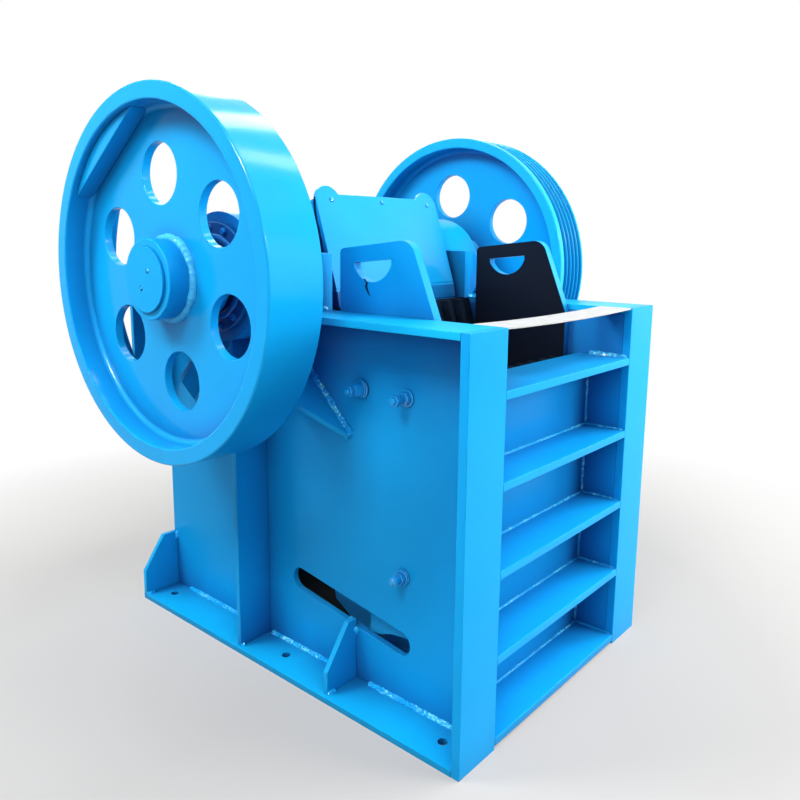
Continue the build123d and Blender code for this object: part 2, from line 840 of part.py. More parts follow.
# Pulley rim with the belt grooves turned in it, on the other side
with BuildPart() as pulley_rim:
    mirror(make_rim(pulley_radius), about=Plane.XZ)
    with BuildSketch(Plane.YZ.offset(shaft_x)):
        for number in range(groove_count):
            groove_y = rim_outer - groove_edge - number * groove_pitch
            with BuildLine():
                Polyline(
                    (groove_y - groove_top / 2, shaft_z + pulley_radius + groove_overrun),
                    (groove_y - groove_top / 2, shaft_z + pulley_radius),
                    (groove_y - groove_bottom / 2, shaft_z + pulley_radius - groove_depth),
                    (groove_y + groove_bottom / 2, shaft_z + pulley_radius - groove_depth),
                    (groove_y + groove_top / 2, shaft_z + pulley_radius),
                    (groove_y + groove_top / 2, shaft_z + pulley_radius + groove_overrun),
                    close=True,
                )
            make_face()
    revolve(axis=shaft_axis, mode=Mode.SUBTRACT)
save(pulley_rim.part, "pulley_rim")

with BuildPart() as pulley_web:
    mirror(make_web(pulley_hole_angle), about=Plane.XZ)
save(pulley_web.part, "pulley_web")

# Bosses of the two wheels
with BuildPart() as boss:
    with BuildSketch(hub(boss_inner)):
        Circle(boss_radius)
        Circle(wheel_seat_radius + seat_gap, mode=Mode.SUBTRACT)
    extrude(amount=boss_outer - boss_inner)
save_pair(boss.part, "boss", "flywheel_boss", "pulley_boss")

# Counterweight: a segment inside the rim, against the web's outer face
with BuildPart() as counterweight:
    with BuildSketch(hub(web_outer)):
        Circle(rim_bore - seat_gap)
        weight_direction = Rot(0, 0, weight_angle)
        with Locations(weight_direction * Pos(weight_chord - rim_bore, 0)):
            Rectangle(2 * rim_bore, 3 * rim_bore, mode=Mode.SUBTRACT)
    extrude(amount=weight_thickness)
save_pair(counterweight.part, "counterweight", "flywheel_counterweight", "pulley_counterweight")

# Discs screwed on the shaft's two ends
with BuildPart() as end_discs:
    with BuildSketch(hub(boss_outer)):
        Circle(end_disc_radius)
        with PolarLocations(end_bolt_pitch, 2, start_angle=end_bolt_angle):
            Circle(end_bolt_radius, mode=Mode.SUBTRACT)
    extrude(amount=end_disc)
    mirror(about=Plane.XZ)
save(end_discs.part, "shaft_end_discs")
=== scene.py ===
"""Jaw crusher in bright blue paint on a pale floor."""

import math
import random
from collections import namedtuple

import bmesh
import bpy
from mathutils import Matrix, Vector


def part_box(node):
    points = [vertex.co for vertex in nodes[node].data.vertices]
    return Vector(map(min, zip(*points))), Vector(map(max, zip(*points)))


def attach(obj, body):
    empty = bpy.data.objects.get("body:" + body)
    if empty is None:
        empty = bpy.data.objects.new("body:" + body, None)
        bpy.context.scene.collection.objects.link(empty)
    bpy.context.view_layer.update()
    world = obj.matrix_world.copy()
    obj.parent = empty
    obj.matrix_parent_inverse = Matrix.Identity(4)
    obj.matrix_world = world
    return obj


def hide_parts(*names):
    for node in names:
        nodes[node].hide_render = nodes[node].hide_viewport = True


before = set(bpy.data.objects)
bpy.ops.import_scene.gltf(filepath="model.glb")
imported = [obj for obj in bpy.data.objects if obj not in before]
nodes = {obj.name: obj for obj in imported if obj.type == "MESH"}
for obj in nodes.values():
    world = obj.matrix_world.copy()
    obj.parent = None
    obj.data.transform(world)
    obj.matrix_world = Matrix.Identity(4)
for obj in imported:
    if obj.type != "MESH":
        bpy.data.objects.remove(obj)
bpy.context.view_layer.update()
random.seed(11)

SIDES = (("flywheel", -1), ("pulley", 1))
ALONG_X = Vector((1, 0, 0))
UP = Vector((0, 0, 1))

# Sizes of the frame that the small pieces line up with, in metres
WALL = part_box("front_shelves")[1].y
OUTER = -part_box("flywheel_side_plate")[0].y
EDGE = -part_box("flywheel_side_post")[0].y
POST_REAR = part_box("flywheel_side_post")[0].x
REAR_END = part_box("flywheel_side_plate")[0].x
FOOT_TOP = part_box("flywheel_side_foot_flange")[1].z
FLANGE_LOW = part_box("flywheel_side_top_flange")[0].z
FRAME_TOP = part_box("flywheel_side_top_flange")[1].z
SHAFT_X = sum(corner.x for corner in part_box("flywheel_side_bearing_housing")) / 2
SHAFT_Z = sum(corner.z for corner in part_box("flywheel_side_bearing_housing")) / 2
HOUSING_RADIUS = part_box("flywheel_side_bearing_housing")[1].x - SHAFT_X
PEDESTAL_FRONT = SHAFT_X + 0.2504


# Shader nodes

def add(tree, kind, inputs=(), **settings):
    """Add a shader node with its input values and settings."""
    node = tree.nodes.new(kind)
    for name, value in settings.items():
        setattr(node, name, value)
    for name, value in dict(inputs).items():
        node.inputs[name].default_value = value
    return node


def link(tree, source, target):
    tree.links.new(source, target)


def start_material(name):
    """A new material, its node tree, its shader, and the texture coordinates that its patterns follow."""
    material = bpy.data.materials.new(name)
    material.use_nodes = True
    tree = material.node_tree
    coords = add(tree, "ShaderNodeTexCoord")
    return material, tree, tree.nodes["Principled BSDF"], coords


def set_inputs(shader, inputs):
    for name, value in inputs.items():
        shader.inputs[name].default_value = value


def noise(tree, place, scale, detail=3.0, roughness=0.55):
    node = add(tree, "ShaderNodeTexNoise", {"Scale": scale, "Detail": detail, "Roughness": roughness})
    link(tree, place, node.inputs["Vector"])
    return node.outputs["Fac"]


def remap(tree, value, low, high, to_low=0.0, to_high=1.0):
    node = add(tree, "ShaderNodeMapRange", {1: low, 2: high, 3: to_low, 4: to_high})
    link(tree, value, node.inputs[0])
    return node.outputs[0]


def math_node(tree, operation, first, second=0.0):
    node = add(tree, "ShaderNodeMath", operation=operation)
    for socket, value in zip(node.inputs, (first, second)):
        if isinstance(value, (int, float)):
            socket.default_value = value
        else:
            link(tree, value, socket)
    return node.outputs[0]


def separate(tree, vector):
    """The X, Y and Z outputs of a vector."""
    node = add(tree, "ShaderNodeSeparateXYZ")
    link(tree, vector, node.inputs[0])
    return node.outputs


def blend_colours(tree, factor, first, second):
    """Mix two colours, each a tuple or a socket."""
    node = add(tree, "ShaderNodeMix", data_type="RGBA")
    link(tree, factor, node.inputs[0])
    for socket, value in ((node.inputs[6], first), (node.inputs[7], second)):
        if isinstance(value, tuple):
            socket.default_value = (*value, 1.0)
        else:
            link(tree, value, socket)
    return node.outputs[2]


def mottle(tree, place, low, high, scale, detail):
    """Mix two colours in soft patches."""
    return blend_colours(tree, remap(tree, noise(tree, place, scale, detail), 0.3, 0.7), low, high)


def bump(tree, shader, layers):
    """Chain bump layers, each a height, a strength and a distance in metres."""
    normal = None
    for height, strength, distance in layers:
        node = add(tree, "ShaderNodeBump", {"Strength": strength, "Distance": distance})
        link(tree, height, node.inputs["Height"])
        if normal is not None:
            link(tree, normal, node.inputs["Normal"])
        normal = node.outputs["Normal"]
    link(tree, normal, shader.inputs["Normal"])


def mix_shaders(tree, factor, first, second):
    """Mix two shaders, given by their outputs."""
    node = add(tree, "ShaderNodeMixShader")
    for socket, source in zip(node.inputs, (factor, first, second)):
        link(tree, source, socket)
    return node.outputs[0]


# Paint

DEEP_TONE = 0.94
LIGHT_TONE = 1.04
COAT_ROUGHNESS = 0.08

# Painted shade in a corner: how near stands what counts as closing it in, its red, and its shares of the
# paint's green and blue
CREVICE_REACH = 0.18
CREVICE_RED = 0.008
CREVICE_GREEN = 0.25
CREVICE_BLUE = 0.38

# Painted shade under the top flange: the heights where it starts and where it is full
DIM_LOW = FLANGE_LOW - 0.27
DIM_HIGH = FLANGE_LOW - 0.02
FLANGE_SHADE_COLOUR = (0.018, 0.07, 0.30)

# Colour of the painted glints
GLINT_COLOUR = (0.20, 0.86, 1.0)

# A face looks into the chamber where its normal's Y times its own Y, in metres, goes from one to the other
CHAMBER_FACES = (-0.20, -0.24)


def paint_corner_shade(tree, tone, colour, strength, shaded):
    """Paint shade into the corners. shaded says how open the shade's full end and its far end are."""
    near = add(tree, "ShaderNodeAmbientOcclusion", {"Distance": CREVICE_REACH}, samples=8)
    shade = (CREVICE_RED, colour[1] * CREVICE_GREEN, colour[2] * CREVICE_BLUE)
    openness = remap(tree, near.outputs["AO"], *shaded, 1.0 - strength, 1.0)
    return blend_colours(tree, openness, shade, tone)


def paint_shade_below_flange(tree, tone, height, strength):
    """Paint shade on the side plate towards the top flange, and none above the flange."""
    towards = remap(tree, height, DIM_LOW, DIM_HIGH, 0.0, strength)
    below = remap(tree, height, FLANGE_LOW, FRAME_TOP, 1.0, 0.0)
    return blend_colours(tree, math_node(tree, "MULTIPLY", towards, below), tone, FLANGE_SHADE_COLOUR)


def paint_glints(tree, tone, place, strength):
    """Painted glints in patches, where the ripples of a weld would catch the light."""
    spots = remap(tree, noise(tree, place, scale=110.0, roughness=0.65), 0.48, 0.56)
    patches = remap(tree, noise(tree, place, scale=11.0, detail=2.0), 0.42, 0.56, 0.0, strength)
    return blend_colours(tree, math_node(tree, "MULTIPLY", spots, patches), tone, GLINT_COLOUR)


def darken_inside(tree, tone, facing, across, colour):
    """Another colour on the faces that look across the machine's middle, into the chamber."""
    inward = math_node(tree, "MULTIPLY", facing, across)
    return blend_colours(tree, remap(tree, inward, *CHAMBER_FACES), tone, colour)


def paint(name, colour, roughness=0.33, shine=0.08, coat=0.03, peel=0.10, wave=0.10, casting=0.0,
          crevice=1.0, shaded=(0.26, 0.78), dim_top=0.0, painted_glints=0.0, inside=None):
    """Sprayed machine paint: slightly uneven tone and gloss, orange peel and waviness.

    peel, wave and casting are the strengths of the bumps: the spray's, the plate's and a casting's.
    crevice and dim_top are the strengths of the shade painted into corners and under the top flange, the one
    after them is that of the painted glints, and inside is the colour of the faces that look into the
    chamber.
    """
    material, tree, shader, coords = start_material(name)
    place = coords.outputs["Object"]
    spot = separate(tree, place)
    deep = tuple(channel * DEEP_TONE for channel in colour)
    light = tuple(min(1.0, channel * LIGHT_TONE + 0.001) for channel in colour)
    tone = blend_colours(tree, remap(tree, noise(tree, place, scale=2.5), 0.32, 0.68), deep, light)
    if crevice:
        tone = paint_corner_shade(tree, tone, colour, crevice, shaded)
    if dim_top:
        tone = paint_shade_below_flange(tree, tone, spot["Z"], dim_top)
    if painted_glints:
        tone = paint_glints(tree, tone, place, painted_glints)
    if inside is not None:
        facing = separate(tree, coords.outputs["Normal"])
        tone = darken_inside(tree, tone, facing["Y"], spot["Y"], inside)
    link(tree, tone, shader.inputs["Base Color"])
    haze = noise(tree, place, scale=6.0, detail=4.0)
    gloss = remap(tree, haze, 0.3, 0.7, roughness * 0.85, roughness * 1.2)
    link(tree, gloss, shader.inputs["Roughness"])
    set_inputs(shader, {"Specular IOR Level": shine, "Coat Weight": coat, "Coat Roughness": COAT_ROUGHNESS})
    layers = [(noise(tree, place, scale=7.0, detail=2.0), wave, 0.004)]
    if casting:
        layers.append((noise(tree, place, scale=90.0, detail=5.0, roughness=0.7), casting, 0.0012))
    layers.append((noise(tree, place, scale=260.0, detail=2.0), peel, 0.0003))
    bump(tree, shader, layers)
    return material


BLUE = (0.004, 0.36, 0.80)
LIT_TOP_BLUE = (0.006, 0.48, 0.90)
GLOSSY = {"roughness": 0.17, "coat": 0.05, "wave": 0.05}
WHEEL = {**GLOSSY, "shine": 0.09, "peel": 0.06}
WELD = {"roughness": 0.18, "shine": 0.25, "coat": 0.1, "casting": 0.5}
NEAR_BLACK = (0.006, 0.009, 0.018)

# Each paint gets shade painted into its corners, as strong as its crevice says, over its shaded range
blue_paint = paint("blue_paint", BLUE)
# The side plates also get shade painted under the top flange
side_blue = paint("side_blue", BLUE, dim_top=0.5)
post_blue = paint("post_blue", BLUE, crevice=0.3)
# The gussets and braces are a lighter blue than the frame: painted light
gusset_lit_blue = paint("gusset_lit_blue", (0.006, 0.41, 0.84), crevice=0.5)
shelf_blue = paint("shelf_blue", (0.005, 0.36, 0.81), crevice=0.8)
# The flanges are a lighter blue than the frame: painted light, for the light on their upper faces
flange_lit_blue = paint("flange_lit_blue", LIT_TOP_BLUE)
cheek_blue = paint("cheek_blue", BLUE, inside=NEAR_BLACK)
cast_blue = paint("cast_blue", BLUE, roughness=0.34, casting=0.12)
cover_blue = paint("cover_blue", BLUE, roughness=0.2, shine=0.28, coat=0.08)
# The wedge bar is a darker blue: painted shade, for the shadow under the guard cover
wedge_shadow_blue = paint("wedge_shadow_blue", (0.004, 0.17, 0.46), roughness=0.35)
# The bearing covers are a darker blue: painted shade, for the shadow of the wheels
bearing_cover_shadow_blue = paint("bearing_cover_shadow_blue", (0.003, 0.18, 0.46), roughness=0.15, shine=0.3, coat=0.3, wave=0.3)
wheel_blue = paint("wheel_blue", BLUE, **WHEEL)
web_blue = paint("web_blue", BLUE, **WHEEL, shaded=(0.36, 0.86))
groove_blue = paint("groove_blue", (0.010, 0.44, 0.84), **GLOSSY, shaded=(0.30, 0.85))
# The bead round the boss is a pale blue: a painted highlight
boss_highlight_blue = paint("boss_highlight_blue", (0.060, 0.50, 0.88), coat=0.1, casting=0.3, crevice=0.7)
# The sockets' floors are a dark blue: a painted shadow
socket_shadow_blue = paint("socket_shadow_blue", (0.003, 0.09, 0.30), roughness=0.35)
bolt_blue = paint("bolt_blue", (0.006, 0.38, 0.84), roughness=0.11, shine=0.45, coat=0.5, peel=0.15)
# The beads are a lighter blue than the frame, and carry painted glints
bead_blue = paint("bead_blue", (0.008, 0.46, 0.92), **WELD, peel=0.2, wave=0.2, painted_glints=1.0, crevice=0.0)
seam_blue = paint("seam_blue", (0.008, 0.42, 0.86), **WELD, painted_glints=0.6, crevice=0.6)
# The plates at the jaw's toe are brighter blues without corner shade: painted light, least on the low plates
toe_lit_blue = paint("toe_lit_blue", (0.030, 0.42, 1.0), roughness=0.35, crevice=0.0)
toe_front_lit_blue = paint("toe_front_lit_blue", (0.020, 0.44, 0.92), roughness=0.35, crevice=0.0)
toe_low_lit_blue = paint("toe_low_lit_blue", (0.020, 0.30, 0.90), roughness=0.4, crevice=0.0)


# Steel and the white band

def steel(name, colour, roughness, metallic, grain, shine=0.5):
    """Bare or dark steel with mottled oxide."""
    material, tree, shader, coords = start_material(name)
    place = coords.outputs["Object"]
    low = tuple(channel * 0.55 for channel in colour)
    high = tuple(min(1.0, channel * 1.5) for channel in colour)
    link(tree, mottle(tree, place, low, high, scale=26.0, detail=6.0), shader.inputs["Base Color"])
    oxide = noise(tree, place, scale=60.0, detail=4.0)
    gloss = remap(tree, oxide, 0.3, 0.7, roughness * 0.8, min(1.0, roughness * 1.3))
    link(tree, gloss, shader.inputs["Roughness"])
    set_inputs(shader, {"Metallic": metallic, "Specular IOR Level": shine})
    bump(tree, shader, [(noise(tree, place, scale=95.0, detail=6.0, roughness=0.7), grain, 0.002)])
    return material


def webbing(name):
    """White woven band."""
    material, tree, shader, coords = start_material(name)
    place = coords.outputs["Object"]
    tone = mottle(tree, place, (0.42, 0.43, 0.43), (0.52, 0.52, 0.51), scale=30.0, detail=4.0)
    link(tree, tone, shader.inputs["Base Color"])
    set_inputs(shader, {"Roughness": 0.7})
    weave = add(tree, "ShaderNodeTexWave", {"Scale": 130.0, "Distortion": 0.4}, bands_direction="Y")
    link(tree, place, weave.inputs["Vector"])
    bump(tree, shader, [(weave.outputs["Fac"], 0.25, 0.0004)])
    return material


jaw_steel = steel("jaw_steel", (0.0045, 0.0090, 0.0190), roughness=0.6, metallic=0.0, grain=0.3, shine=0.01)
# slit_dark paints the shade in the slits beside the guard cover, and colours the dark mark on the near cheek
# plate
slit_dark = steel("slit_dark", (0.003, 0.022, 0.055), roughness=0.7, metallic=0.0, grain=0.6, shine=0.1)
shaft_steel = steel("shaft_steel", (0.32, 0.33, 0.35), roughness=0.28, metallic=1.0, grain=0.1)
white_band = webbing("white_band")


# Finish of the CAD nodes: part of the node's name, material and width of the rounded edges in metres. The
# first row that fits a node counts

WELD_DISTANCE = 0.00001
FLAT_ANGLE = math.radians(0.5)
EDGE_ANGLE = math.radians(35)
SHEARED_EDGE = 0.0018
FINISHES = (
    ("fixed_jaw_plate", jaw_steel, 0.003),
    ("moving_jaw_plate", jaw_steel, 0.003),
    ("mouth_strip", white_band, 0.001),
    ("eccentric_shaft", shaft_steel, 0.002),
    ("cheek_plate", cheek_blue, 0.002),
    ("gussets", gusset_lit_blue, SHEARED_EDGE),
    ("brace", gusset_lit_blue, SHEARED_EDGE),
    ("counterweight", wheel_blue, 0.003),
    ("pulley_rim", groove_blue, 0.002),
    ("rim", wheel_blue, 0.002),
    ("web", web_blue, 0.002),
    ("boss", cast_blue, 0.003),
    ("end_discs", cast_blue, 0.002),
    ("bearing_housing", cast_blue, 0.003),
    ("bearing_cover", bearing_cover_shadow_blue, 0.003),
    ("swing_jaw", cast_blue, 0.004),
    ("foot_flange", flange_lit_blue, SHEARED_EDGE),
    ("top_flange", flange_lit_blue, SHEARED_EDGE),
    ("side_plate", side_blue, SHEARED_EDGE),
    ("post", post_blue, SHEARED_EDGE),
    ("front_shelves", shelf_blue, SHEARED_EDGE),
    ("jaw_cover", cover_blue, 0.0025),
    ("jaw_wedge", wedge_shadow_blue, 0.004),
)


def find_finish(name):
    for part, material, width in FINISHES:
        if part in name:
            return material, width
    return blue_paint, SHEARED_EDGE


def finish_node(name, node):
    """Paint a CAD node and round its edges."""
    material, width = find_finish(name)
    node.data.materials.clear()
    node.data.materials.append(material)
    weld = node.modifiers.new("weld", "WELD")
    weld.merge_threshold = WELD_DISTANCE
    if "cheek_plate" not in name:
        flat = node.modifiers.new("flat", "DECIMATE")
        flat.decimate_type = "DISSOLVE"
        flat.angle_limit = FLAT_ANGLE
    bevel = node.modifiers.new("bevel", "BEVEL")
    bevel.width = width
    bevel.segments = 2
    bevel.limit_method = "ANGLE"
    bevel.angle_limit = EDGE_ANGLE
    bevel.use_clamp_overlap = True
    bevel.harden_normals = False
    normals = node.modifiers.new("normals", "WEIGHTED_NORMAL")
    normals.keep_sharp = True
    for polygon in node.data.polygons:
        polygon.use_smooth = True


for node_name, node_object in nodes.items():
    finish_node(node_name, node_object)


# Mesh pieces. A shape is a pair of lists: points and faces. A turned profile lists places along its axis and
# radii, in metres

SHARP_EDGE = math.radians(40)
HEXAGON = 6
ROUND = 24


def make_piece(name, shape, material, body, smooth=True):
    """Turn a shape into a piece that rides on a body."""
    mesh = bpy.data.meshes.new(name)
    mesh.from_pydata([tuple(point) for point in shape[0]], [], shape[1])
    mesh.validate()
    mesh.update()
    tidy = bmesh.new()
    tidy.from_mesh(mesh)
    bmesh.ops.recalc_face_normals(tidy, faces=tidy.faces)
    tidy.to_mesh(mesh)
    tidy.free()
    mesh.materials.append(material)
    for polygon in mesh.polygons:
        polygon.use_smooth = smooth
    if smooth:
        mesh.set_sharp_from_angle(angle=SHARP_EDGE)
    piece = bpy.data.objects.new(name, mesh)
    bpy.context.scene.collection.objects.link(piece)
    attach(piece, body)
    return piece


def circle(count, start=0.0):
    """Angles evenly spaced round a full turn."""
    return [start + 2 * math.pi * number / count for number in range(count)]


def spoke(angle):
    """Direction away from the shaft, at an angle up from the front."""
    return Vector((math.cos(angle), 0, math.sin(angle)))


def hub(y):
    """Point on the shaft's axis."""
    return Vector((SHAFT_X, y, SHAFT_Z))


def outward(sign):
    """Direction away from the machine's middle, towards one side."""
    return Vector((0, sign, 0))


def add_rings(shape, rings, closed=False):
    """Join rings of points, all with the same count, into a tube with flat ends, or into a closed ring."""
    verts, faces = shape
    first = len(verts)
    count = len(rings[0])
    for ring in rings:
        verts.extend(ring)
    spans = len(rings) if closed else len(rings) - 1
    for span in range(spans):
        here = first + span * count
        there = first + (span + 1) % len(rings) * count
        for side in range(count):
            after = (side + 1) % count
            faces.append((here + side, here + after, there + after, there + side))
    if not closed:
        faces.append(tuple(range(first, first + count)))
        faces.append(tuple(range(first + (len(rings) - 1) * count, first + len(rings) * count)))


def add_turned(shape, profile, place, axis, sides, turn=0.0):
    """A turned piece, round or with a few flat sides."""
    across = axis.orthogonal().normalized()
    other = axis.cross(across)
    add_rings(shape, [
        [place + axis * along + (across * math.cos(angle) + other * math.sin(angle)) * radius
         for angle in circle(sides, turn)]
        for along, radius in profile])


def add_plate(shape, outline, sign, faces):
    """A flat plate parallel to the side plates: its outline in x and z, and how far out its two faces lie."""
    add_rings(shape, [[Vector((x, sign * y, z)) for x, z in outline] for y in faces])


# Weld beads. Each kind has the length of its legs in metres, its rows of ripples, how rough it is, and
# how far apart its rings of points stand

Bead = namedtuple("Bead", "leg rows rough step", defaults=(1, 0.16, 0.004))

# How a bead's size swells and comes back from ring to ring, and tapers in at its ends
SWELL_CHANGE = 0.10
SWELL_RETURN = 0.35
END_SIZE = 0.45
END_GROWTH = 0.3

# How high its back is as a share of its leg, how full, how its ripples follow and bend, and how deep its root
# lies in the corner
CROWN = 0.30
FULLNESS = 0.7
RIPPLE_STEP = (1.3, 2.1)
RIPPLE_BEND = 2.4
BEAD_ROOT = 0.0006


def add_bead(shape, path, along_a, along_b, bead, closed=False):
    """A weld bead in a corner: it spans from one plate to the other, with ripples across its length.

    along_a and along_b point away from the corner along its two plates. Each is one direction, or a
    list with one for each point of the path.
    """
    phase = random.uniform(0, 6.28)
    swell = 1.0
    points = 5 if bead.rows == 1 else 9
    rings = []
    last = len(path) - 1
    for index, corner in enumerate(path):
        a = along_a[index] if isinstance(along_a, list) else along_a
        b = along_b[index] if isinstance(along_b, list) else along_b
        swell += SWELL_RETURN * (1.0 - swell) + random.uniform(-SWELL_CHANGE, SWELL_CHANGE)
        taper = 1.0 if closed else min(1.0, END_SIZE + END_GROWTH * min(index, last - index))
        leg = bead.leg * swell * taper
        phase += random.uniform(*RIPPLE_STEP)
        out = (a + b).normalized()
        ring = []
        for number in range(points):
            part = number / (points - 1)
            lobe = abs(math.sin(math.pi * bead.rows * part)) ** FULLNESS
            ripple = math.sin(phase - RIPPLE_BEND * math.sin(math.pi * part))
            crown = CROWN * lobe * (1.0 + 0.5 * bead.rough * ripple)
            height = leg * (crown + bead.rough * 0.5 * ripple * lobe)
            height += random.uniform(-0.5, 0.5) * bead.rough * leg * 0.5 * lobe
            ring.append(corner + a * (leg * (1 - part)) + b * (leg * part) + out * height)
        ring.append(corner - out * BEAD_ROOT)
        rings.append(ring)
    add_rings(shape, rings, closed)


def add_run(shape, start, end, along_a, along_b, bead):
    """A straight weld bead from start to end."""
    count = max(3, round((end - start).length / bead.step))
    add_bead(shape, [start.lerp(end, number / count) for number in range(count + 1)], along_a, along_b, bead)


# Weld beads on the frame, the same on both sides

FOOT_BEAD = Bead(0.0095, rows=2, rough=0.42)
FLANGE_BEAD = Bead(0.006)
POST_BEAD = Bead(0.006, rough=0.3)
GUSSET_BEAD = Bead(0.009, rough=0.45, step=0.003)
TOE_BEAD = Bead(0.008, rough=0.4, step=0.003)
REAR_BEAD = Bead(0.008, rough=0.4)
BRACE_BEAD = Bead(0.010, rows=2, rough=0.5, step=0.003)
PEDESTAL_BEAD = Bead(0.009, rough=0.5, step=0.003)
HOUSING_BEAD = Bead(0.009, rough=0.25)

# Where the plates stand that the beads run along, and where the braces' beads start and end, in metres
HALF_GUSSET = 0.008
GUSSET_X = 0.213
GUSSET_OUT = 0.457
STIFFENER_OUT = 0.461
REAR_GUSSET_TOP = 0.210
BRACE_START = 0.176
BRACE_END = 0.546
BRACE_OFFSET = 0.0297

# Where the beads along the plate start and end, a little off what crosses them
FOOT_RUNS = (
    (REAR_END + 0.085, SHAFT_X - 0.012),
    (SHAFT_X + 0.016, GUSSET_X - 0.015),
    (GUSSET_X + 0.055, POST_REAR - 0.004),
)
FLANGE_RUNS = (
    (REAR_END + 0.02, SHAFT_X - 0.185),
    (SHAFT_X + 0.185, POST_REAR - 0.004),
)
POST_RUN_OUT = EDGE - 0.004

# The heights of the beads behind and ahead of the gusset, and the lengths of the short beads
GUSSET_RUNS = {-1: (FOOT_TOP + 0.02, 0.193), 1: (0.148, 0.170)}
GUSSET_TOE = 0.030
STIFFENER_TOE = 0.014
REAR_TOE = 0.03

# The bead round the housing, in degrees up from the front
HOUSING_ARC_START = 159
HOUSING_ARC = 222
HOUSING_STEPS = 150


def weld_flanges(shape, sign):
    """The beads from one side plate to its flanges, and from the flanges to the post."""
    face = sign * OUTER
    out = outward(sign)
    for runs, z, upward, bead in (
            (FOOT_RUNS, FOOT_TOP, UP, FOOT_BEAD), (FLANGE_RUNS, FLANGE_LOW, -UP, FLANGE_BEAD)):
        for start, end in runs:
            add_run(shape, Vector((start, face, z)), Vector((end, face, z)), out, upward, bead)
    for z, upward in ((FOOT_TOP, UP), (FLANGE_LOW, -UP)):
        start = Vector((POST_REAR, face, z))
        add_run(shape, start, Vector((POST_REAR, sign * POST_RUN_OUT, z)), -ALONG_X, upward, POST_BEAD)


def weld_toe(shape, x, away, sign, outer, length):
    """A short bead on the foot flange, at the outer end of a plate that stands across it."""
    start = Vector((x, sign * outer - sign * length, FOOT_TOP))
    add_run(shape, start, Vector((x, sign * outer, FOOT_TOP)), away, UP, TOE_BEAD)


def weld_ribs(shape, sign, ahead):
    """The beads on the front or the rear face of the gusset, the stiffener and one brace."""
    face = sign * OUTER
    out = outward(sign)
    away = ALONG_X * ahead
    x = GUSSET_X + ahead * HALF_GUSSET
    low, high = GUSSET_RUNS[ahead]
    add_run(shape, Vector((x, face, low)), Vector((x, face, high)), out, away, GUSSET_BEAD)
    weld_toe(shape, x, away, sign, GUSSET_OUT, GUSSET_TOE)
    weld_toe(shape, SHAFT_X + ahead * HALF_GUSSET, away, sign, STIFFENER_OUT, STIFFENER_TOE)
    slope = Vector((ahead, 0, -1)).normalized()
    start = Vector((SHAFT_X - ahead * BRACE_OFFSET, face, SHAFT_Z - BRACE_OFFSET))
    for above in (-1, 1):
        across = Vector((ahead, 0, 1)).normalized() * above
        edge = start + across * HALF_GUSSET
        add_run(shape, edge + slope * BRACE_START, edge + slope * BRACE_END, out, across, BRACE_BEAD)


def weld_rear_gusset(shape, sign):
    """The beads at the top and the foot of the gusset at the rear end."""
    face = sign * OUTER
    x = REAR_END + 2 * HALF_GUSSET
    start = Vector((x, face, REAR_GUSSET_TOP - REAR_TOE))
    add_run(shape, start, Vector((x, face, REAR_GUSSET_TOP)), outward(sign), ALONG_X, REAR_BEAD)
    start = Vector((x, sign * (EDGE - REAR_TOE), FOOT_TOP))
    add_run(shape, start, Vector((x, sign * EDGE, FOOT_TOP)), ALONG_X, UP, REAR_BEAD)


def weld_bearing(shape, sign):
    """The beads at the feet of the bearing's pedestal, and round the lower part of its housing."""
    for x, away in ((PEDESTAL_FRONT, ALONG_X), (2 * SHAFT_X - PEDESTAL_FRONT, -ALONG_X)):
        start = Vector((x, sign * WALL, FRAME_TOP))
        add_run(shape, start, Vector((x, sign * OUTER, FRAME_TOP)), away, UP, PEDESTAL_BEAD)
    angles = [math.radians(HOUSING_ARC_START + HOUSING_ARC * number / HOUSING_STEPS)
              for number in range(HOUSING_STEPS + 1)]
    away = [spoke(angle) for angle in angles]
    path = [hub(sign * OUTER) + direction * HOUSING_RADIUS for direction in away]
    add_bead(shape, path, away, outward(sign), HOUSING_BEAD)


for side_name, side_sign in SIDES:
    side_welds = ([], [])
    weld_flanges(side_welds, side_sign)
    for ahead in (-1, 1):
        weld_ribs(side_welds, side_sign, ahead)
    weld_rear_gusset(side_welds, side_sign)
    weld_bearing(side_welds, side_sign)
    make_piece(side_name + "_side_welds", side_welds, bead_blue, "frame")


# Weld beads on the front wall and its shelves

WALL_BEAD = Bead(0.0045, rough=0.3)
SHELF_BEAD = Bead(0.0045, rough=0.35)
TOP_SHELF_BEAD = Bead(0.009, rough=0.35)
CORNER_BEAD = Bead(0.005, rough=0.3)
WALL_FRONT = 0.542
SHELVES = 5
SHELF_PITCH = 0.2165
LOWEST_SHELF = 0.009
SHELF = 0.021
SHELF_RUN = 0.122
CORNER_GAP = 0.004


def weld_shelf_face(shape, z, upward, wall_bead, side_bead):
    """The beads of a shelf's upper or lower face: one along the wall, and one at each side."""
    if wall_bead:
        start = Vector((WALL_FRONT, -WALL, z))
        add_run(shape, start, Vector((WALL_FRONT, WALL, z)), ALONG_X, upward, wall_bead)
    for _, sign in SIDES:
        start = Vector((WALL_FRONT, sign * WALL, z))
        add_run(shape, start, start + ALONG_X * SHELF_RUN, outward(-sign), upward, side_bead)


